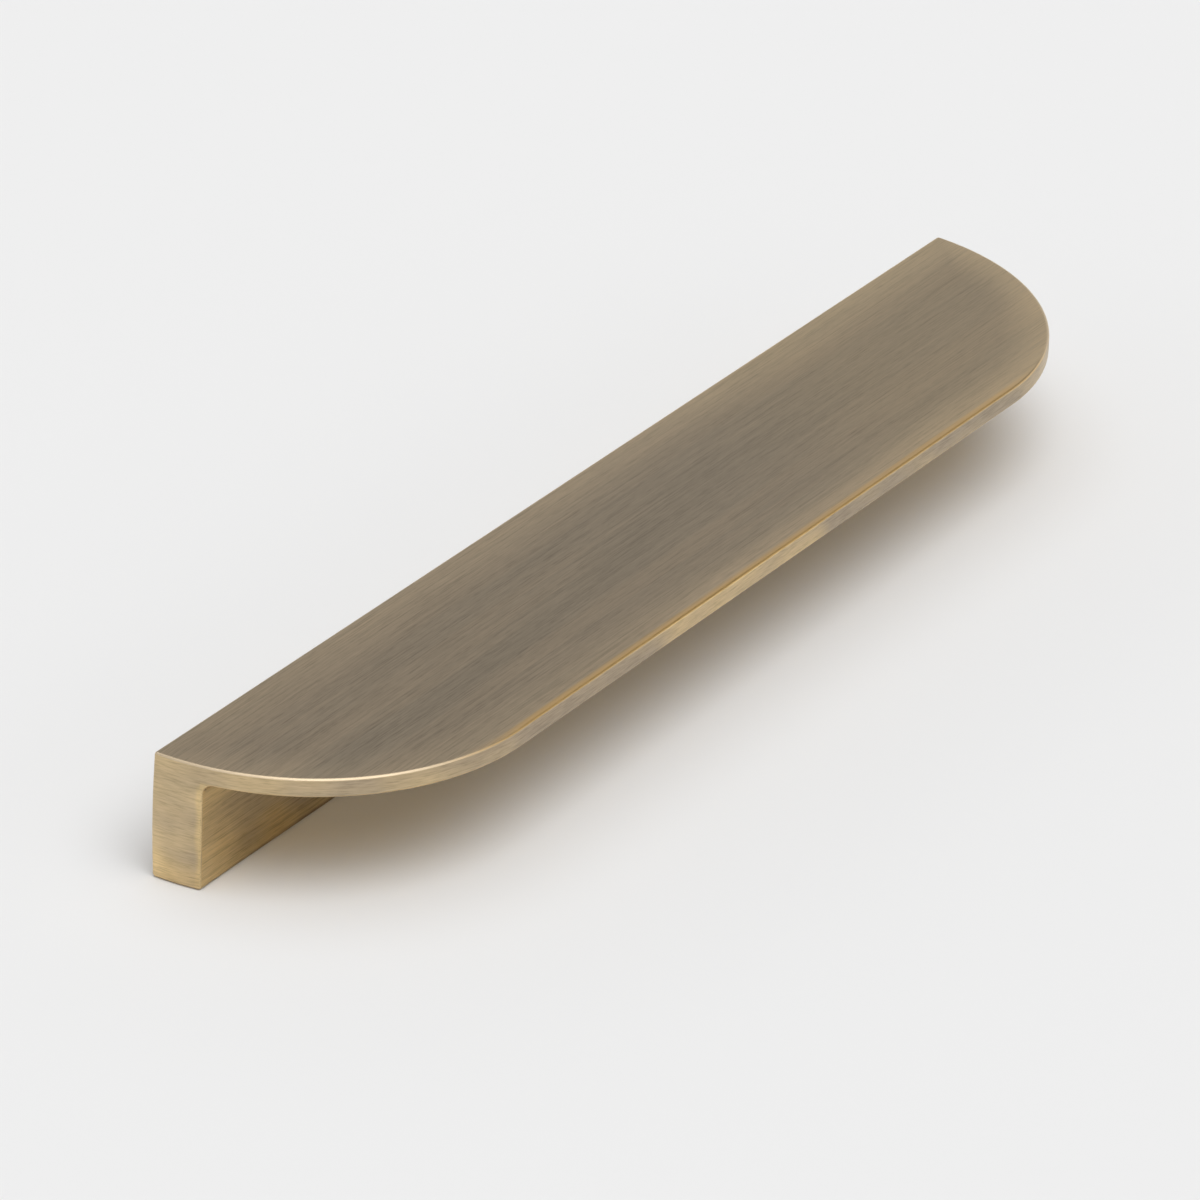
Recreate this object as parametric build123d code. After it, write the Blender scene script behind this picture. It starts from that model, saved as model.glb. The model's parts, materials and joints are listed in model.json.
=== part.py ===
from build123d import *

import math
import os

# Overall sizes of the pull, in millimetres
overall_length = 200.0
plate_depth = 36.0
projection = 19.5
plate_thickness = 2.8
foot_thickness = 7.75

# Softening left by brushing and polishing: rounded edges, and faces that are fullest at mid-height
face_crown = 0.15
root_radius = 1.6
corner_radius = 0.5
top_edge_radius = 0.4
lip_edge_radius = 0.35
foot_edge_radius = 0.5

# Two blind screw holes, tapped M4, in the underside of the foot
hole_spacing = 160.0
thread_diameter = 4.0
hole_depth = 12.0
mouth_chamfer = 0.35
drill_point_angle = 118.0

# The foot's underside is z = 0, with the screw holes on the X axis and the origin midway between them.
# The lip reaches forward, towards -Y.
back_y = foot_thickness / 2
inner_y = back_y - foot_thickness
front_y = back_y - plate_depth
lip_under_z = projection - plate_thickness

# Each end is a full quarter round struck from the back edge, so its radius is the plate's depth.
end_radius = plate_depth
end_centre_x = overall_length / 2 - end_radius

# How far the outline and the section run past each other, and how closely an edge's height is matched
overrun = 5.0
overrun_angle = 15.0
height_match = 0.001


def rim_section(inner_x):
    """Upright section of the outline, from inner_x to the crowned rim, with the back edge at zero."""
    rim_x = end_radius - face_crown
    web = Polyline((rim_x, projection), (inner_x, projection), (inner_x, 0), (rim_x, 0))
    crown = ThreePointArc((rim_x, 0), (end_radius, projection / 2), (rim_x, projection))
    return Plane.XZ * make_face(web + crown)


def outline_slab():
    """The plan outline at full height: a straight front between two quarter rounds."""
    past_back = Rot(0, 0, overrun_angle) * rim_section(0)
    end_round = revolve(past_back, Axis((0, 0, 0), (0, 0, -1)), 90 + overrun_angle)
    right_end = Pos(end_centre_x, back_y, 0) * end_round
    left_end = mirror(right_end, Plane.YZ)
    front_section = Pos(-end_centre_x, back_y, 0) * Rot(0, 0, -90) * rim_section(-overrun)
    straight_front = extrude(front_section, 2 * end_centre_x, dir=(1, 0, 0))
    return straight_front + right_end + left_end


def section_bar():
    """The L-shaped section run along the length: foot and lip in one, with a rounded root between them."""
    back_edge_y = back_y - face_crown
    root_z = lip_under_z - root_radius
    root_y = inner_y - root_radius
    past_front_y = front_y - overrun
    back = ThreePointArc((back_edge_y, projection), (back_y, projection / 2), (back_edge_y, 0))
    foot = Polyline((back_edge_y, 0), (inner_y, 0), (inner_y, root_z))
    root = CenterArc((root_y, root_z), root_radius, 0, 90)
    lip = Polyline(
        (root_y, lip_under_z),
        (past_front_y, lip_under_z),
        (past_front_y, projection),
        (back_edge_y, projection),
    )
    section = Plane.YZ * make_face(back + foot + root + lip)
    return extrude(section, overall_length / 2 + overrun, both=True)


def standing_edges(body):
    """Edges that stand between the foot's underside and the lip, the two back corners last."""
    standing = body.edges().filter_by(Axis.X, reverse=True)
    standing = standing.filter_by_position(Axis.Z, height_match, lip_under_z - height_match)
    return standing.sort_by(Axis.Y)


def recess_rim(body):
    """Rim of the finger recess: along the lip's lower edge, round both roots and down the foot."""
    low, high = lip_under_z - height_match, lip_under_z + height_match
    under_lip = body.edges().filter_by_position(Axis.Z, low, high).sort_by(Axis.Y)
    lip_edge = under_lip[:-1]
    return lip_edge + standing_edges(body)[:-2]


def soften(body):
    """Round every outer edge: recess rim, back corners, top edge and the edge of the foot's underside."""
    body = fillet(recess_rim(body), lip_edge_radius)
    body = fillet(standing_edges(body)[-2:], corner_radius)
    body = fillet(body.faces().sort_by(Axis.Z)[-1].edges(), top_edge_radius)
    return fillet(body.faces().sort_by(Axis.Z)[0].edges(), foot_edge_radius)


def screw_hole():
    """One blind hole at the thread's outer diameter, with a chamfered mouth and a drill point."""
    radius = thread_diameter / 2
    point = radius / math.tan(math.radians(drill_point_angle / 2))
    half_section = Polyline(
        (0, 0),
        (radius + mouth_chamfer, 0),
        (radius, mouth_chamfer),
        (radius, hole_depth),
        (0, hole_depth + point),
        close=True,
    )
    return revolve(Plane.XZ * make_face(half_section), Axis.Z)


def pull_body():
    """The pull in one piece: the section trimmed to the outline, softened, and drilled from below."""
    body = soften(outline_slab() & section_bar())
    for hole in GridLocations(hole_spacing, 0, 2, 1):
        body -= hole * screw_hole()
    return body


os.makedirs("parts", exist_ok=True)
export_step(pull_body(), "parts/pull_body.step")
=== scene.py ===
import json
import math

import bpy
import numpy as np
from mathutils import Matrix, Vector


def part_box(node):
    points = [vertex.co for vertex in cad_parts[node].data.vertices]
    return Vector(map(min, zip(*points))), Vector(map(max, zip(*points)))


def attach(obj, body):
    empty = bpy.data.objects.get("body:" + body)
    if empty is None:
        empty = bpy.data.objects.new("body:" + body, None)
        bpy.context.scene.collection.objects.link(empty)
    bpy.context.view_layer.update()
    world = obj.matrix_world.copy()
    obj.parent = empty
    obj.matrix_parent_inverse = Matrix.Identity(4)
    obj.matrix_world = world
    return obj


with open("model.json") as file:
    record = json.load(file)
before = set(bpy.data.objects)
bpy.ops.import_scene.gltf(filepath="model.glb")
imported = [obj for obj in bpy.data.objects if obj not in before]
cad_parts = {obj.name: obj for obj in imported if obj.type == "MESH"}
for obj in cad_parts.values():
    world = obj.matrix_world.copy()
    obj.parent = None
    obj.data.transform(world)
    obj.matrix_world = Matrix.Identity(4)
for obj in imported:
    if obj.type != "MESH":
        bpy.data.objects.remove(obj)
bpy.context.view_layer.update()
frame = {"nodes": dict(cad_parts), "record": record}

bl_info = {
    "name": "Cabinet Pull",
    "version": (1, 0, 0),
    "blender": (4, 5, 0),
    "location": "View3D > Sidebar > Cabinet Pull",
    "description": "Brushes and ages a long brass lip pull, taps its screw holes and sets it on a pale stage",
    "category": "Object",
}

MM = 0.001
BODY_NODE = "pull_body"
BRASS_SLOT = "aged_brass"

# How near to a face a point counts as on it, in millimetres
RIM_SKIN = 0.45
FACE_SKIN = 0.2
BORE_SKIN = 0.4
# How far below the top a point in the bore counts as in the hole, and how far the rim's marks are set off
HOLE_HEADROOM = 4.0
RIM_MARKS_SHIFT = 60.0

# Fades in millimetres: a share is 0 at the first place and 1 at the second.
# In from the outline, where the brush turns to follow it
TURN_FADE = (0.7, 0.2)
# Down from the top, and in from the back
TOP_FADE = (0.45, 0.05)
FRONT_TOP_FADE = (0.2, 0.05)
BACK_FADE = (0.6, 0.2)
# Up from the lip's underside, and back from the foot's inner face
BELOW_LIP_FADE = (0.5, -1.5)
FOOT_FADE = (-2.5, -0.5)
# Out from the middle: into the recess from the ends, towards the ends, and over the right half
# FAR_IN_FADE darkens the foot's inner face deep in the recess with painted shade, and ages it
FAR_IN_FADE = (98.0, 84.0)
END_FADE = (60.0, 82.0)
RIGHT_FADE = (10.0, 60.0)
# Up from the mounting face
HIGH_FADE = (12.0, 18.0)
LOW_FADE = (14.0, 8.0)
# CONTACT_FADE sets a painted contact shadow, with a dark edge line, at the foot's bottom in the recess
CONTACT_FADE = (0.9, 0.3)
# In from an edge
THIN_LINE_FADE = (0.4, 0.15)
FRONT_LINE_FULL = 0.2
BORDER_FULL = 0.3

# Share of its width at which a bright edge line, the golden low band or the painted reflection on the back
# corner is full
EDGE_FULL = 0.5
FOOT_FULL = 0.3
CORNER_FULL = 0.2
# Shares of a stretch's reach between which it fades, and by which it is ragged
STRETCH_FADE = (1.35, 0.65)
STRETCH_RAGGED = 1.2
# The bright line, rubbed brass with a painted highlight, reaches half as far down the rim as in over the top
RIM_SIDE_STEEPNESS = 2.0

# Distances made ragged by the marks, in millimetres
EDGE_DISTANCE = {"top_edge": 1.0, "at_end": -0.15, "streak": 0.2}
FRONT_DISTANCE = {"inside": 1.0, "streak": 0.8, "hair": 0.4}
BORDER_DISTANCE = {"from_recess": 1.0, "cloud": 1.2, "grit": 0.5}
FOOT_DISTANCE = {"z": 1.0, "cloud": 8.0, "grit": 3.0}

# What each mark or place adds to the age of a face, which goes from 0 for bare brass to 1
OPEN_AGE = {"plain": 1.0, "streak": 0.1, "glow": -0.15, "on_right": -0.2, "low_back": -0.2}
SIDE_AGE = {
    "plain": 0.98,
    "cloud": 1.5,
    "far_cloud": -0.8,
    "grit": 0.2,
    "thin_line": -0.35,
    "at_end": -0.4,
    "high_end": -0.12,
    "border": -0.55,
    "end_stain": 0.35,
    # lighter, more golden stretch of the rim
    "front_golden_stretch": -0.55,
    # lighter, more golden low on the sides
    "low_golden_band": -0.55,
    # painted reflection on the back corner
    "painted_corner_reflection": -0.15,
}
# What is left of that age in the finger recess
SHELTERED_AGE = {"plain": 1.0, "sheltered": -0.9, "on_foot": 0.25, "shaded_and_aged_far_in": 0.65}

# What each adds to the brightness of the colour
OPEN_GRAIN = {"plain": 1.0, "fine": 0.8, "streak": 0.06, "band": 0.3, "glow": 0.25, "x": 0.0002}
SIDE_GRAIN = {
    "plain": 0.98,
    "fine": 0.9,
    "cloud": -0.1,
    "end_cloud": -0.3,
    "on_front": -0.09,
    # painted highlight on the front's edges
    "painted_front_edge_highlight": 0.3,
    "front_golden_stretch": 0.08,
    # painted shade deep in the recess
    "shaded_and_aged_far_in": -0.12,
    # painted contact shadow and dark edge line
    "contact_shadow_and_dark_edge": -0.4,
    # painted reflection on the back corner
    "painted_corner_reflection": 0.14,
    "end_stain": -0.06,
}

# How the fine marks are mixed on the flat faces and on the rim, and how they weaken from left to right
FLAT_FINE = {"hair": 0.6, "grit": 0.45}
RIM_FINE = {"grit": 0.75}
FINE_SLOPE = {"plain": 1.0, "x": -0.002}
# How the brighter border of the top strengthens from left to right
GLOW_SLOPE = {"plain": 1.0, "x": 0.003}

# What makes the dark grooves, the greyer bands, the golden recess, the roughness and the height
GROOVE_MARKS = {"fine": 0.8, "streak": 0.1}
COOL_MARKS = {"band": 1.0, "streak": 0.3}
GOLDEN_PLACES = {"sheltered": 1.0, "on_foot": -0.8}
ROUGH_MARKS = {"fine": 0.14, "cloud": 0.1, "age": 0.04, "end_line": 0.2}
HEIGHT_MARKS = {"fine": 0.7, "streak": 0.6}
# Values of the marks between which the grooves, the greyer bands and the tap's rings fade in
GROOVE_FADE = (0.0, -0.2)
COOL_FADE = (0.14, -0.14)
CUT_FADE = (0.35, 0.65)
# How far the grooves and the golden front line, rubbed brass with a painted reflection, cover the colour
# below
GROOVE_ON_SIDES = 0.2
GROOVE_ON_OPEN = 0.16
FRONT_LINE_SHARE = 0.85

# Noise of the brush marks, the turn that draws the gloss out across them, and the tap's own marks
MARK_ROUGHNESS = 0.55
ACROSS_THE_BRUSH = 0.25
CUT_MARKS_PER_MM = (1.2, 1.2, 22.0)
CUT_ROUGHNESS = 0.24
CUT_ROUGHNESS_RANGE = 0.14

# The thread ridge: its fineness, its run-out, its depth in the bore's wall, and half its width in pitches
STEPS_PER_TURN = 40
RUN_OUT_TURNS = 0.5
RIDGE_BED = 0.03 * MM
RIDGE_FOOT = 0.4375
RIDGE_CREST = 0.125
SHARP_ANGLE = math.radians(35.0)

# The camera's sensor in millimetres, the range that it sees in metres, and what counts as straight up
SENSOR_WIDTH = 36.0
VIEW_NEAR = 0.05
VIEW_FAR = 100.0
UPRIGHT = 1e-6

body_low, body_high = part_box(BODY_NODE)
screw_mount = next(mount for mount in frame["record"]["mounts"] if mount["name"] == "screw_holes")
screw_dims = screw_mount["dims"]


def length_prop(name, description, default):
    """A size in metres, shown in the user's own unit."""
    return bpy.props.FloatProperty(
        name=name,
        description=description,
        default=default,
        min=0.0,
        precision=5,
        unit="LENGTH",
        subtype="DISTANCE",
    )


def share_prop(name, description, default):
    """A share from none to all."""
    return bpy.props.FloatProperty(
        name=name, description=description, default=default, min=0.0, max=1.0, precision=3, subtype="FACTOR"
    )


def angle_prop(name, description, degrees):
    """An angle, written here in degrees."""
    return bpy.props.FloatProperty(
        name=name,
        description=description,
        default=math.radians(degrees),
        precision=5,
        unit="ROTATION",
        subtype="ANGLE",
    )


def strength_prop(name, description, default):
    """The strength of a light."""
    return bpy.props.FloatProperty(name=name, description=description, default=default, min=0.0)


def colour_prop(name, description, default):
    """A colour in linear light."""
    return bpy.props.FloatVectorProperty(
        name=name, description=description, default=default, size=3, min=0.0, max=1.0, subtype="COLOR"
    )


class PullSizes(bpy.types.PropertyGroup):
    """Where the pull's edges lie, so that brushing and wear can follow them."""

    overall_length: length_prop("Overall length", "From end to end", 200.0 * MM)
    plate_depth: length_prop("Plate depth", "From the back to the lip's front edge", 36.0 * MM)
    projection: length_prop("Projection", "From the mounting face to the top", body_high.z - body_low.z)
    plate_thickness: length_prop("Plate thickness", "Thickness of the lip", 2.8 * MM)
    foot_thickness: length_prop("Foot thickness", "Thickness of the upright foot", 7.75 * MM)


class ThreadSizes(bpy.types.PropertyGroup):
    """The thread cut into the two screw holes."""

    hole_spacing: length_prop("Hole spacing", "Between the two holes", screw_dims["spacing_x_mm"] * MM)
    outer_radius: length_prop("Outer radius", "Radius of the bore", screw_dims["hole_r_mm"] * MM)
    crest_radius: length_prop("Crest radius", "Radius left open between the crests", 1.62 * MM)
    pitch: length_prop("Pitch", "Rise of the thread in one turn", 0.7 * MM)
    first_turn: length_prop("First turn", "Height of the first full turn above the mouth", 0.62 * MM)
    last_turn: length_prop("Last turn", "Height at which the thread runs out", 10.6 * MM)


class BrassFinish(bpy.types.PropertyGroup):
    """Colours, brush marks and wear of the aged brass, with the painted highlight colours of its edges."""

    # The front edge and end edge colours are rubbed brass and also painted highlights: they are brightened to
    # stand in for the lamp's line along the top edges
    rubbed_and_highlit_front_brass: colour_prop("Edge brass", "Colour of the front edge, rubbed bright", (0.93, 0.6, 0.22))
    rubbed_and_highlit_end_brass: colour_prop("End brass", "Colour of the edges of the round ends", (0.79, 0.65, 0.46))
    bare_brass: colour_prop("Bare brass", "Colour where the age is rubbed away", (0.67, 0.505, 0.27))
    recess_brass: colour_prop("Recess brass", "Colour of the finger recess", (0.79, 0.55, 0.18))
    aged_brass: colour_prop("Aged brass", "Colour of the aged faces", (0.47, 0.375, 0.264))
    cool_brass: colour_prop("Cool brass", "Colour of the greyer bands on them", (0.447, 0.366, 0.265))
    groove_brass: colour_prop("Groove brass", "Colour of the dark in the brush marks", (0.17, 0.13, 0.085))
    roughness: share_prop("Roughness", "Roughness of the brushed face", 0.36)
    brushing: share_prop("Brushing", "How far the gloss is drawn out across the brush marks", 0.6)
    hair_length: length_prop("Hairline length", "Length of the hairlines on the flat faces", 16.0 * MM)
    grit_length: length_prop("Grit length", "Length of the short marks on every face", 2.4 * MM)
    hair_width: length_prop("Hairline width", "Width of the hairlines and the short marks", 0.2 * MM)
    streak_length: length_prop("Streak length", "Length of the coarser marks", 110.0 * MM)
    streak_width: length_prop("Streak width", "Width of the coarser marks", 0.7 * MM)
    band_length: length_prop("Band length", "Length of the broad shaded bands", 150.0 * MM)
    band_width: length_prop("Band width", "Width of the broad shaded bands", 6.0 * MM)
    cloud_length: length_prop("Cloud length", "Length of the soft blotches", 14.0 * MM)
    cloud_width: length_prop("Cloud width", "Width of the soft blotches", 7.0 * MM)
    mark_depth: length_prop("Mark depth", "Depth of the brush marks", 0.0016 * MM)
    edge_width: length_prop("Edge width", "Width of the bright line on an edge", 0.4 * MM)
    # The golden band in from the front of the top is rubbed brass and a painted reflection
    front_width: length_prop("Front width", "How far in from the front the top is rubbed golden", 1.8 * MM)
    wear_width: length_prop("Wear width", "How far in from the recess the foot's ends are rubbed", 1.1 * MM)
    glow_width: length_prop("Glow width", "How far in from an edge the top is a little brighter", 9.0 * MM)
    # The sides are made lighter and more golden up to about this height, with a ragged top
    low_golden_band: length_prop("Foot rub", "Height to which the foot's ends are rubbed", 6.0 * MM)
    # Painted reflection: the foot's ends are made lighter and more golden this far in from the back corner
    painted_corner_reflection: length_prop("Corner rub", "How far in from the back the foot's ends are rubbed", 3.2 * MM)
    end_stain_place: length_prop("End stain", "Darker stretch, round the rim to the left", 94.0 * MM)
    end_stain_reach: length_prop("End stain reach", "Half the length of that stretch", 6.5 * MM)
    # A lighter, more golden stretch of the rim, left of the middle
    front_golden_place: length_prop("Front rub", "Rubbed stretch, left of the middle", 9.0 * MM)
    front_golden_reach: length_prop("Front rub reach", "Half the length of that stretch", 21.0 * MM)


class StageSetup(bpy.types.PropertyGroup):
    """Floor, surround, lamps and camera."""

    floor_colour: colour_prop("Floor", "Colour of the floor", (0.84, 0.84, 0.84))
    floor_reach: length_prop("Floor reach", "Half the floor's width", 14.0)
    floor_gap: length_prop("Floor gap", "Hair's breadth between the foot and the floor", 0.05 * MM)
    floor_inset: length_prop("Floor inset", "How far the floor reaches in under the foot", 0.8 * MM)
    horizon_colour: colour_prop("Horizon", "Light from the pale surround", (0.85, 0.85, 0.85))
    room_colour: colour_prop("Room", "Light from the dim room above it", (0.15, 0.15, 0.15))
    surround_height: angle_prop("Surround height", "Height to which the pale surround reaches", 22.0)
    room_height: angle_prop("Room height", "Height at which the dim room begins", 31.0)
    ceiling_strength: strength_prop("Ceiling light", "Strength of the broad light straight above", 1.05)
    ceiling_spread: angle_prop("Ceiling spread", "Width of the broad light as seen from the pull", 80.0)
    lamp_strength: strength_prop("Lamp", "Strength of the soft lamp", 1.42)
    lamp_spread: angle_prop("Lamp spread", "Width of the soft lamp as seen from the pull", 50.0)
    lamp_lean: angle_prop("Lamp lean", "How far the lamp leans from straight above", 26.0)
    lamp_heading: angle_prop("Lamp heading", "Side it leans to, from the front to the right", -25.0)
    aim: bpy.props.FloatVectorProperty(
        name="Aim",
        description="Point in the middle of the picture",
        default=(-0.01232, -0.01044, 0.00975),
        size=3,
        precision=5,
        unit="LENGTH",
        subtype="TRANSLATION",
    )
    azimuth: angle_prop("Azimuth", "Camera's side, turned from the front to the right", -57.152)
    elevation: angle_prop("Elevation", "Camera's height above the floor", 28.838)
    roll: angle_prop("Roll", "Camera's turn about its line of sight", 2.554)
    distance: length_prop("Distance", "From the camera to the aim", 1.21557)
    lens: bpy.props.FloatProperty(
        name="Lens", description="Focal length of the camera", default=255.982, min=1.0, unit="CAMERA"
    )


class Signal:
    """A number or vector inside a node tree. Sums on it add the nodes that work it out."""

    def __init__(self, tree, socket):
        self.tree = tree
        self.socket = socket

    def maths(self, operation, *values):
        """The Math node of that name on this signal and the values."""
        return add_maths(self.tree, operation, self, *values)

    def __add__(self, other):
        return self.maths("ADD", other)

    __radd__ = __add__

    def __sub__(self, other):
        return self.maths("SUBTRACT", other)

    def __rsub__(self, other):
        return add_maths(self.tree, "SUBTRACT", other, self)

    def __mul__(self, other):
        return self.maths("MULTIPLY", other)

    __rmul__ = __mul__

    def __truediv__(self, other):
        return self.maths("DIVIDE", other)

    def fade(self, start, end):
        """Eases from 0 where the signal is at start to 1 where it is at end."""
        inputs = {"Value": self, "From Min": start, "From Max": end, "To Min": 0.0, "To Max": 1.0}
        return add_node(self.tree, "ShaderNodeMapRange", inputs, interpolation_type="SMOOTHSTEP")

    def between(self, first, second):
        """Goes from the first value to the second as this signal goes from 0 to 1."""
        return self * (second - first) + first

    def tint(self, first, second):
        """Goes from the first colour to the second as this signal goes from 0 to 1."""
        inputs = {0: self, 6: first, 7: second}
        return add_node(self.tree, "ShaderNodeMix", inputs, output=2, data_type="RGBA")


def feed(tree, socket, value):
    """Joins a signal to a socket, or sets the socket's own plain value."""
    if isinstance(value, Signal):
        tree.links.new(value.socket, socket)
    elif socket.type == "RGBA":
        socket.default_value = (*value, 1.0)
    else:
        socket.default_value = value


def add_node(tree, kind, inputs, output=0, **settings):
    """Adds a node, feeds its inputs and gives one of its outputs as a signal."""
    node = tree.nodes.new(kind)
    for name, value in settings.items():
        setattr(node, name, value)
    for key, value in inputs.items():
        feed(tree, node.inputs[key], value)
    return Signal(tree, node.outputs[output])


def add_maths(tree, operation, *values):
    """A Math node on signals and plain numbers."""
    return add_node(tree, "ShaderNodeMath", dict(enumerate(values)), operation=operation)


def combine(tree, x, y, z):
    """Three numbers as one vector."""
    return add_node(tree, "ShaderNodeCombineXYZ", {"X": x, "Y": y, "Z": z})


def new_tree(owner):
    """An empty node tree for a material or the world."""
    owner.use_nodes = True
    owner.node_tree.nodes.clear()
    return owner.node_tree


def end_with(tree, kind, surface):
    """Ends a tree with its output node, fed with the surface."""
    output = tree.nodes.new(kind)
    tree.links.new(surface.socket, output.inputs["Surface"])


def place_in_mm(tree):
    """The three parts of a point's place on its piece, in millimetres."""
    place = add_node(tree, "ShaderNodeTexCoord", {}, output="Object")
    scaled = add_node(tree, "ShaderNodeVectorMath", {0: place, "Scale": 1.0 / MM}, operation="SCALE")
    return [add_node(tree, "ShaderNodeSeparateXYZ", {0: scaled}, output=axis) for axis in "XYZ"]


class BrushedPlace:
    """Where a point lies for the brush: along it, across it, and how far from each edge, in millimetres.

    The brush ran along the length on every face but the rim, where it followed the outline. There the
    distance along is measured round the outline from mid-front, and the distance across is the height.
    """

    def __init__(self, tree, sizes, thread):
        x, y, z = place_in_mm(tree)
        end_radius = sizes.plate_depth / MM
        end_centre = sizes.overall_length / MM / 2 - end_radius
        top = sizes.projection / MM
        under_lip = top - sizes.plate_thickness / MM
        back = sizes.foot_thickness / MM / 2

        side = x.maths("SIGN")
        from_middle = x.maths("ABSOLUTE")
        past_centre = (from_middle - end_centre).maths("MAXIMUM", 0.0)
        from_back = back - y
        radius = (past_centre * past_centre + from_back * from_back).maths("SQRT")
        turn = from_back.maths("ARCTAN2", past_centre)
        arc = side * (from_middle.maths("MINIMUM", end_centre) + (math.pi / 2 - turn) * end_radius)
        inside = end_radius - radius

        self.x = x
        self.z = z
        self.inside = inside
        self.on_rim = inside.maths("LESS_THAN", RIM_SKIN)
        self.along = self.on_rim.between(x, arc)
        self.across = self.on_rim.between(y, z)
        self.deep = self.on_rim.between(z, inside + RIM_MARKS_SHIFT)

        turned = inside.fade(*TURN_FADE)
        tangent_x = turned.between(1.0, from_back / radius)
        tangent_y = turned * side * past_centre / radius
        self.tangent = combine(tree, tangent_x, tangent_y, 0.0)

        behind_recess = y + back
        in_foot = behind_recess.maths("MAXIMUM", 0.0)
        in_lip = (z - under_lip).maths("MAXIMUM", 0.0)
        recess = (in_foot * in_foot + in_lip * in_lip).maths("SQRT")
        self.from_top = top - z
        self.from_back = from_back
        self.from_recess = inside.maths("MAXIMUM", recess)
        self.from_edge = self.from_recess
        for first, second in (
            (inside, self.from_top),
            (from_back, self.from_top),
            (from_back, inside),
            (from_back, z),
            (inside, z),
            (behind_recess.maths("ABSOLUTE"), z),
        ):
            self.from_edge = self.from_edge.maths("MINIMUM", first.maths("MAXIMUM", second))

        below = z.maths("LESS_THAN", under_lip + FACE_SKIN)
        ahead = y.maths("LESS_THAN", FACE_SKIN - back)
        self.sheltered = below * ahead * (1.0 - self.on_rim)
        self.below_lip = (z - under_lip).fade(*BELOW_LIP_FADE)
        self.on_foot = self.sheltered * behind_recess.fade(*FOOT_FADE)
        # Deep in the recess: painted shade and a deeper age on the foot's inner face
        self.shaded_and_aged_far_in = self.on_foot * from_middle.fade(*FAR_IN_FADE)
        self.on_back = from_back.fade(*BACK_FADE) * (1.0 - self.on_rim)

        bore = thread.outer_radius / MM
        off_axis = from_middle - thread.hole_spacing / MM / 2
        from_axis = (off_axis * off_axis + y * y).maths("SQRT")
        below_point = z.maths("LESS_THAN", top - HOLE_HEADROOM)
        self.in_hole = from_axis.maths("LESS_THAN", bore + BORE_SKIN) * below_point


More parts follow.
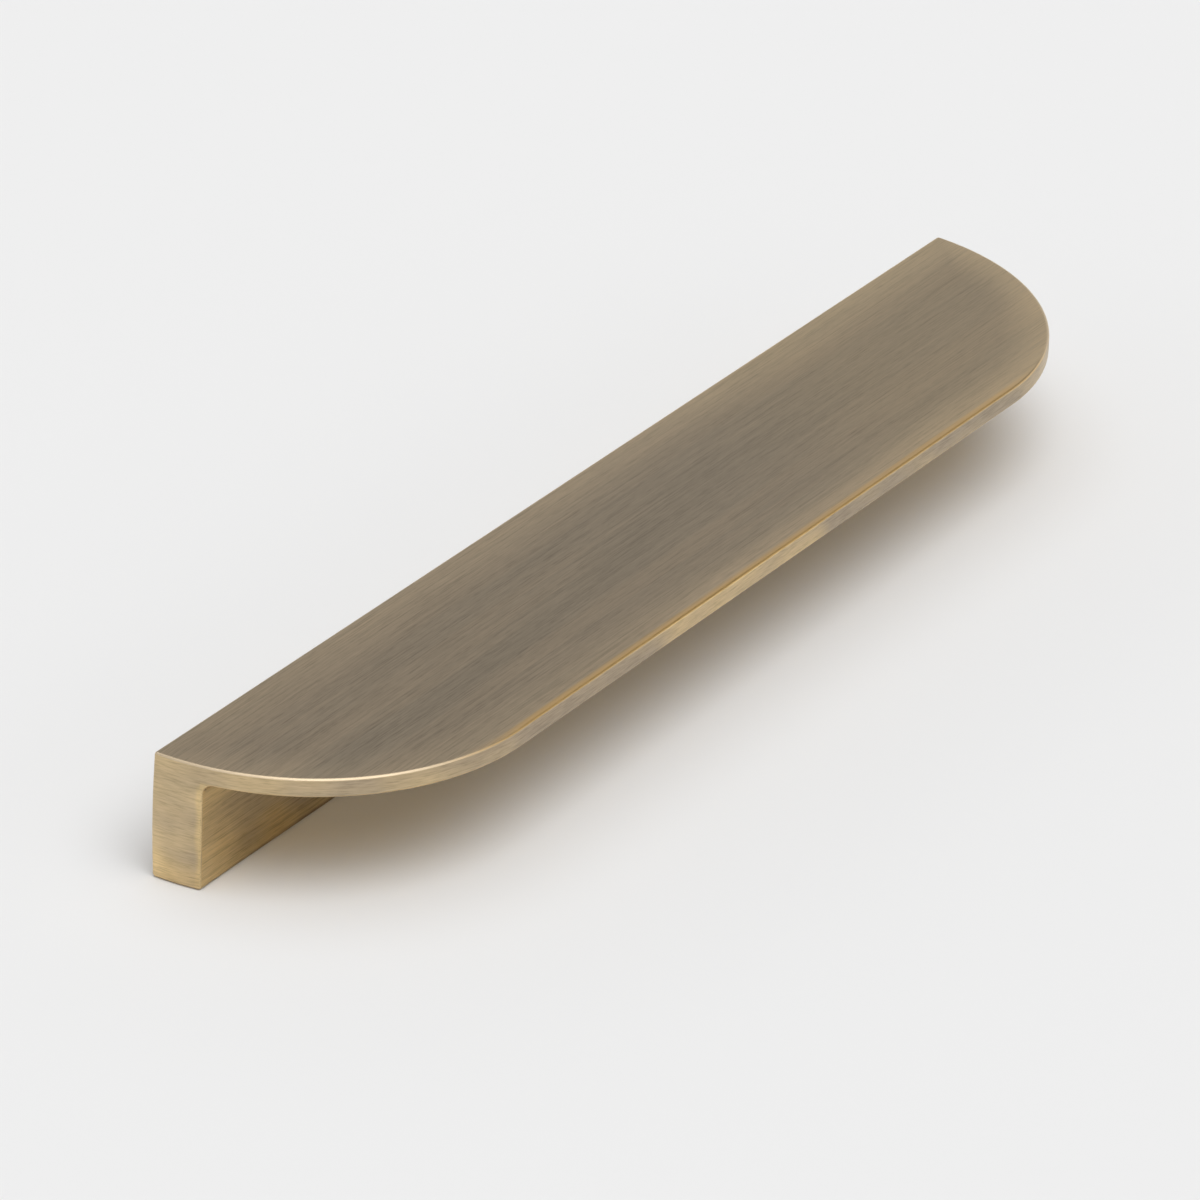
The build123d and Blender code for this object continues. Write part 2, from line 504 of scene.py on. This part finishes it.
class WornBrass(BrushedPlace):
    """The brush marks at a point, about 0, and how far each kind of wear, painted highlight and painted shade
    reaches it, from 0 to 1.
    """

    def __init__(self, tree, sizes, thread, finish):
        super().__init__(tree, sizes, thread)
        self.hair = self.marks(tree, finish.hair_length, finish.hair_width, detail=2.0, start=3.0)
        self.grit = self.marks(tree, finish.grit_length, finish.hair_width, detail=2.0, start=11.0)
        self.streak = self.marks(tree, finish.streak_length, finish.streak_width, detail=1.0, start=17.0)
        self.band = self.marks(tree, finish.band_length, finish.band_width, detail=3.0, start=31.0)
        self.cloud = self.marks(tree, finish.cloud_length, finish.cloud_width, detail=1.0, start=18.5)
        flat_fine = self.weighed(FLAT_FINE) * self.weighed(FINE_SLOPE)
        self.fine = self.on_rim.between(flat_fine, self.weighed(RIM_FINE))

        self.flat_top = self.from_top.fade(*TOP_FADE) * (1.0 - self.on_rim)
        self.open_face = self.flat_top.maths("MAXIMUM", self.on_back)
        self.at_end = self.along.maths("ABSOLUTE").fade(*END_FADE)
        self.on_front = 1.0 - self.at_end
        self.on_right = self.x.fade(*RIGHT_FADE)
        self.high_end = self.at_end * self.z.fade(*HIGH_FADE)
        self.end_cloud = self.at_end * self.cloud
        self.far_cloud = self.shaded_and_aged_far_in * self.cloud
        # Painted contact shadow, with a dark edge line, along the foot's bottom in the recess
        self.contact_shadow_and_dark_edge = self.z.fade(*CONTACT_FADE) * self.on_foot
        self.thin_line = self.from_edge.fade(*THIN_LINE_FADE)
        # Painted highlight: a thin lighter line along the front's edges, the lip's lower edge among them
        self.painted_front_edge_highlight = self.thin_line * self.on_front
        self.glow = self.from_edge.fade(finish.glow_width / MM, 0.0) * self.weighed(GLOW_SLOPE)

        # The bright line on the top edges is rubbed brass and a painted highlight; it is carried in over the
        # flat top so that the lamp's line reads as continuous
        edge_width = finish.edge_width / MM
        self.top_edge = self.inside.maths("MAXIMUM", self.from_top * RIM_SIDE_STEEPNESS)
        self.rubbed_and_highlit_edge = self.weighed(EDGE_DISTANCE).fade(edge_width, EDGE_FULL * edge_width)
        self.end_line = self.rubbed_and_highlit_edge * self.at_end
        # Golden line in along the top's front edge: rubbed brass and a painted reflection
        rubbed_and_highlit_front = self.weighed(FRONT_DISTANCE).fade(finish.front_width / MM, FRONT_LINE_FULL)
        rubbed_and_highlit_front = rubbed_and_highlit_front * self.from_top.fade(*FRONT_TOP_FADE) * self.on_front
        self.rubbed_and_highlit_front = rubbed_and_highlit_front * FRONT_LINE_SHARE

        border = self.weighed(BORDER_DISTANCE).fade(finish.wear_width / MM, BORDER_FULL)
        self.border = border * self.below_lip
        self.end_stain = self.rim_stretch(finish.end_stain_place, finish.end_stain_reach)
        # A lighter, more golden stretch of the rim, left of the middle
        self.front_golden_stretch = self.rim_stretch(finish.front_golden_place, finish.front_golden_reach)
        # Lighter, more golden band low on the sides and on the back
        foot_height = finish.low_golden_band / MM
        self.low_golden_band = self.weighed(FOOT_DISTANCE).fade(foot_height, FOOT_FULL * foot_height)
        # Painted reflection on the back corner of the foot's ends, lighter and more golden low down
        corner_width = finish.painted_corner_reflection / MM
        painted_corner_reflection = self.from_back.fade(corner_width, CORNER_FULL * corner_width)
        self.painted_corner_reflection = painted_corner_reflection * self.on_rim * self.z.fade(*LOW_FADE)
        self.low_back = (self.open_face - self.flat_top) * self.low_golden_band

        age = self.open_face.between(self.weighed(SIDE_AGE), self.weighed(OPEN_AGE))
        age = age.maths("MINIMUM", 1.0).maths("MAXIMUM", 0.0)
        self.age = age * self.weighed(SHELTERED_AGE) * (1.0 - self.in_hole)

    def marks(self, tree, length, width, detail, start):
        """Noise drawn out along the brush: as long and wide as given, in metres, begun at its own place."""
        along = self.along / (length / MM) + start
        across = self.across / (width / MM) + start
        deep = self.deep / (width / MM)
        inputs = {
            "Vector": combine(tree, along, across, deep),
            "Scale": 1.0,
            "Detail": detail,
            "Roughness": MARK_ROUGHNESS,
        }
        return add_node(tree, "ShaderNodeTexNoise", inputs) - 0.5

    def rim_stretch(self, left_of_middle, reach):
        """1 on a stretch of the rim to the left of its middle, fading out raggedly at both ends."""
        reach = reach / MM
        away = (self.along + left_of_middle / MM).maths("ABSOLUTE") + self.cloud * (STRETCH_RAGGED * reach)
        return away.fade(*(share * reach for share in STRETCH_FADE)) * self.on_rim

    def weighed(self, weights):
        """The plain value plus each named mark or place times its weight."""
        total = weights.get("plain", 0.0)
        for name, weight in weights.items():
            if name != "plain":
                total = getattr(self, name) * weight + total
        return total


def make_aged_brass(sizes, thread, finish):
    """Brass brushed along its length, aged, and rubbed golden again at its edges and in places, with painted
    highlights on its top edges, a painted reflection on its back corners and painted shade deep in the
    recess.
    """
    material = bpy.data.materials.new(BRASS_SLOT)
    tree = new_tree(material)
    worn = WornBrass(tree, sizes, thread, finish)

    bare = worn.weighed(GOLDEN_PLACES).tint(finish.bare_brass[:], finish.recess_brass[:])
    cool = worn.weighed(COOL_MARKS).fade(*COOL_FADE)
    aged = cool.tint(finish.aged_brass[:], finish.cool_brass[:])
    groove = worn.weighed(GROOVE_MARKS).fade(*GROOVE_FADE)
    groove = groove * worn.open_face.between(GROOVE_ON_SIDES, GROOVE_ON_OPEN)
    grooved = groove.tint(worn.age.tint(bare, aged), finish.groove_brass[:])
    grain = worn.open_face.between(worn.weighed(SIDE_GRAIN), worn.weighed(OPEN_GRAIN))
    shown = add_node(tree, "ShaderNodeVectorMath", {0: grooved, "Scale": grain}, operation="SCALE")
    # Painted highlight and rubbed brass: the bright edge colours laid over the top's edge lines
    bright = worn.at_end.tint(finish.rubbed_and_highlit_front_brass[:], finish.rubbed_and_highlit_end_brass[:])
    colour = worn.rubbed_and_highlit_edge.maths("MAXIMUM", worn.rubbed_and_highlit_front).tint(shown, bright)

    height = worn.weighed(HEIGHT_MARKS) * (1.0 - worn.rubbed_and_highlit_edge)
    bump = {"Strength": 1.0, "Distance": finish.mark_depth, "Height": height}
    inputs = {
        "Base Color": colour,
        "Metallic": 1.0,
        "Roughness": worn.weighed(ROUGH_MARKS) + finish.roughness,
        "Anisotropic": finish.brushing,
        "Anisotropic Rotation": ACROSS_THE_BRUSH,
        "Tangent": worn.tangent,
        "Normal": add_node(tree, "ShaderNodeBump", bump),
    }
    end_with(tree, "ShaderNodeOutputMaterial", add_node(tree, "ShaderNodeBsdfPrincipled", inputs))
    return material


def make_cut_brass(finish):
    """Bright brass left by the tap, with fine marks that run round the hole."""
    material = bpy.data.materials.new("cut_brass")
    tree = new_tree(material)
    place = [part * marks for part, marks in zip(place_in_mm(tree), CUT_MARKS_PER_MM)]
    inputs = {"Vector": combine(tree, *place), "Scale": 1.0, "Detail": 2.0, "Roughness": 0.5}
    rings = add_node(tree, "ShaderNodeTexNoise", inputs)
    bump = {"Strength": 1.0, "Distance": finish.mark_depth, "Height": rings}
    inputs = {
        "Base Color": rings.fade(*CUT_FADE).tint(finish.aged_brass[:], finish.bare_brass[:]),
        "Metallic": 1.0,
        "Roughness": rings * CUT_ROUGHNESS_RANGE + CUT_ROUGHNESS,
        "Normal": add_node(tree, "ShaderNodeBump", bump),
    }
    end_with(tree, "ShaderNodeOutputMaterial", add_node(tree, "ShaderNodeBsdfPrincipled", inputs))
    return material


def thread_ridge(thread, centre_x):
    """Points and faces of one thread ridge, a profile carried along a helix.

    The path climbs one pitch in each turn about the hole's axis. The profile is a trapezium: wide where it
    stands on the bore and narrow at the crest. At both ends it shrinks to a point in the bore's wall.
    """
    turns = (thread.last_turn - thread.first_turn) / thread.pitch
    steps = int(round(turns * STEPS_PER_TURN))
    share = np.linspace(0.0, 1.0, steps + 1)[:, None]
    turned = 2 * math.pi * turns * share
    size = np.clip(np.minimum(share, 1.0 - share) * turns / RUN_OUT_TURNS, 0.0, 1.0)
    size = size * size * (3.0 - 2.0 * size)

    bore, crest = thread.outer_radius, thread.crest_radius
    bedded = bore + RIDGE_BED
    reach = np.array([bedded, bore, crest, crest, bore, bedded])
    flank = np.array([RIDGE_FOOT, RIDGE_FOOT, RIDGE_CREST])
    rise = np.concatenate([-flank, flank[::-1]]) * thread.pitch
    radius = bedded + (reach[None, :] - bedded) * size
    height = thread.first_turn + (thread.last_turn - thread.first_turn) * share + rise[None, :] * size
    points = np.stack([centre_x + radius * np.cos(turned), radius * np.sin(turned), height], -1)

    ring = len(reach)
    inner = points[1:-1].reshape(-1, 3)
    vertices = np.concatenate([inner, points[0, :1], points[-1, :1]])
    row = np.arange(steps - 2)[:, None] * ring
    column = np.arange(ring)[None, :]
    after = (column + 1) % ring
    quads = np.stack([row + column, row + after, row + ring + after, row + ring + column], -1)
    first, last = len(inner), len(inner) + 1
    end_row = (steps - 2) * ring
    start_fan = np.stack([np.full(ring, first), after[0], column[0]], -1)
    end_fan = np.stack([np.full(ring, last), end_row + column[0], end_row + after[0]], -1)
    return vertices, quads.reshape(-1, 4).tolist() + start_fan.tolist() + end_fan.tolist()


def add_piece(name, vertices, faces, material):
    """A mesh object at the origin, smooth but for its sharp edges."""
    mesh = bpy.data.meshes.new(name)
    mesh.from_pydata(vertices, [], faces)
    mesh.polygons.foreach_set("use_smooth", np.ones(len(mesh.polygons), dtype=bool))
    mesh.set_sharp_from_angle(angle=SHARP_ANGLE)
    mesh.materials.append(material)
    mesh.validate()
    piece = bpy.data.objects.new(name, mesh)
    bpy.context.scene.collection.objects.link(piece)
    return piece


class PULL_OT_finish_body(bpy.types.Operator):
    """Brush the pull along its length, age it, and rub its edges bright, with painted highlights on them"""

    bl_idname = "pull.finish_body"
    bl_label = "Brush and Age the Body"

    def execute(self, context):
        scene = context.scene
        brass = make_aged_brass(scene.pull_sizes, scene.pull_thread, scene.pull_finish)
        for slot in frame["nodes"][BODY_NODE].material_slots:
            slot.material = brass
        return {"FINISHED"}


class PULL_OT_tap_holes(bpy.types.Operator):
    """Cut the thread into both screw holes"""

    bl_idname = "pull.tap_holes"
    bl_label = "Tap the Screw Holes"

    def execute(self, context):
        scene = context.scene
        brass = make_cut_brass(scene.pull_finish)
        half = scene.pull_thread.hole_spacing / 2
        for name, centre_x in (("thread_left", -half), ("thread_right", half)):
            piece = add_piece(name, *thread_ridge(scene.pull_thread, centre_x), brass)
            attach(piece, "root")
        return {"FINISHED"}


def make_floor(stage, sizes):
    """A broad pale floor, seen only from above, and open under the foot so that light reaches its underside.

    It is a flat frame: four quads between the corners of a square and those of the opening.
    """
    material = bpy.data.materials.new("pale_floor")
    tree = new_tree(material)
    top = add_node(tree, "ShaderNodeBsdfDiffuse", {"Color": stage.floor_colour[:], "Roughness": 0.0})
    clear = add_node(tree, "ShaderNodeBsdfTransparent", {})
    beneath = add_node(tree, "ShaderNodeNewGeometry", {}, output="Backfacing")
    one_sided = add_node(tree, "ShaderNodeMixShader", {0: beneath, 1: top, 2: clear})
    end_with(tree, "ShaderNodeOutputMaterial", one_sided)

    end_centre = sizes.overall_length / 2 - sizes.plate_depth
    inner_end = end_centre + math.sqrt(sizes.plate_depth**2 - sizes.foot_thickness**2)
    foot = np.array([inner_end, sizes.foot_thickness / 2])
    signs = np.array([[-1.0, -1.0], [1.0, -1.0], [1.0, 1.0], [-1.0, 1.0]])
    flat = np.concatenate([signs * stage.floor_reach, signs * (foot - stage.floor_inset)])
    corners = np.column_stack([flat, np.full(len(flat), -stage.floor_gap)])
    sides = len(signs)
    outer = np.arange(sides)
    after = (outer + 1) % sides
    faces = np.stack([outer, after, after + sides, outer + sides], -1)
    floor = add_piece("floor", corners, faces.tolist(), material)


def make_surround(stage):
    """A pale surround near the floor, with a dim room above it."""
    world = bpy.data.worlds.new("surround")
    tree = new_tree(world)
    heading = add_node(tree, "ShaderNodeTexCoord", {}, output="Generated")
    height = add_node(tree, "ShaderNodeSeparateXYZ", {0: heading}, output="Z")
    rise = height.fade(math.sin(stage.surround_height), math.sin(stage.room_height))
    colour = rise.tint(stage.horizon_colour[:], stage.room_colour[:])
    light = add_node(tree, "ShaderNodeBackground", {"Color": colour, "Strength": 1.0})
    end_with(tree, "ShaderNodeOutputWorld", light)
    bpy.context.scene.world = world


def looking_along(ahead, roll=0.0):
    """The turn that points an object's own -Z ahead, with its Y upwards, rolled about that line."""
    across = ahead.cross(Vector((0.0, 0.0, 1.0)))
    if across.length < UPRIGHT:
        across = Vector((1.0, 0.0, 0.0))
    across.normalize()
    upward = across.cross(ahead)
    right = math.cos(roll) * across + math.sin(roll) * upward
    return Matrix((right, right.cross(ahead), -ahead)).transposed()


def from_angles(azimuth, elevation):
    """The unit vector towards a side, turned from the front to the right, and a height."""
    flat = math.cos(elevation)
    return Vector((math.sin(azimuth) * flat, -math.cos(azimuth) * flat, math.sin(elevation)))


def make_lamp(name, strength, spread, towards):
    """One soft light, as wide as its spread, from a direction."""
    lamp = bpy.data.lights.new(name, "SUN")
    lamp.energy = strength
    lamp.angle = spread
    holder = bpy.data.objects.new(name, lamp)
    holder.matrix_world = Matrix.Translation(towards) @ looking_along(-towards).to_4x4()
    bpy.context.scene.collection.objects.link(holder)


def make_camera(stage):
    """The camera, a long lens on the line of sight that the angles give."""
    view = bpy.data.cameras.new("camera")
    view.sensor_width = SENSOR_WIDTH
    view.lens = stage.lens
    view.clip_start = VIEW_NEAR
    view.clip_end = VIEW_FAR
    camera = bpy.data.objects.new("camera", view)
    towards = from_angles(stage.azimuth, stage.elevation)
    place = Vector(stage.aim) + towards * stage.distance
    camera.matrix_world = Matrix.Translation(place) @ looking_along(-towards, stage.roll).to_4x4()
    bpy.context.scene.collection.objects.link(camera)
    bpy.context.scene.camera = camera


class PULL_OT_set_stage(bpy.types.Operator):
    """Set the pull on a pale floor under soft light from two lamps, with the camera in place"""

    bl_idname = "pull.set_stage"
    bl_label = "Set the Stage"

    def execute(self, context):
        scene = context.scene
        stage = scene.pull_stage
        make_floor(stage, scene.pull_sizes)
        make_surround(stage)
        above = from_angles(0.0, math.pi / 2)
        leaning = from_angles(stage.lamp_heading, math.pi / 2 - stage.lamp_lean)
        make_lamp("ceiling_light", stage.ceiling_strength, stage.ceiling_spread, above)
        make_lamp("soft_lamp", stage.lamp_strength, stage.lamp_spread, leaning)
        make_camera(stage)
        scene.view_settings.view_transform = "Standard"
        return {"FINISHED"}


class PULL_PT_sidebar(bpy.types.Panel):
    """The pull's steps and the values they use"""

    bl_label = "Cabinet Pull"
    bl_idname = "PULL_PT_sidebar"
    bl_space_type = "VIEW_3D"
    bl_region_type = "UI"
    bl_category = "Cabinet Pull"

    def draw(self, context):
        scene = context.scene
        steps = (
            (PULL_OT_finish_body, (scene.pull_sizes, scene.pull_finish)),
            (PULL_OT_tap_holes, (scene.pull_thread,)),
            (PULL_OT_set_stage, (scene.pull_stage,)),
        )
        for operator, groups in steps:
            box = self.layout.box()
            box.operator(operator.bl_idname)
            for group in groups:
                for name in group.__annotations__:
                    box.prop(group, name)


GROUPS = {
    "pull_sizes": PullSizes,
    "pull_thread": ThreadSizes,
    "pull_finish": BrassFinish,
    "pull_stage": StageSetup,
}
CLASSES = (*GROUPS.values(), PULL_OT_finish_body, PULL_OT_tap_holes, PULL_OT_set_stage, PULL_PT_sidebar)


def register():
    """Registers the classes and hangs each group of values on the scene."""
    for cls in CLASSES:
        bpy.utils.register_class(cls)
    for name, group in GROUPS.items():
        setattr(bpy.types.Scene, name, bpy.props.PointerProperty(type=group))


def unregister():
    """Takes the groups off the scene again and unregisters the classes."""
    for name in GROUPS:
        delattr(bpy.types.Scene, name)
    for cls in reversed(CLASSES):
        bpy.utils.unregister_class(cls)


def main():
    """Makes the pull's looks in order."""
    register()
    bpy.ops.pull.finish_body()
    bpy.ops.pull.tap_holes()
    bpy.ops.pull.set_stage()


if __name__ == "__main__":
    main()
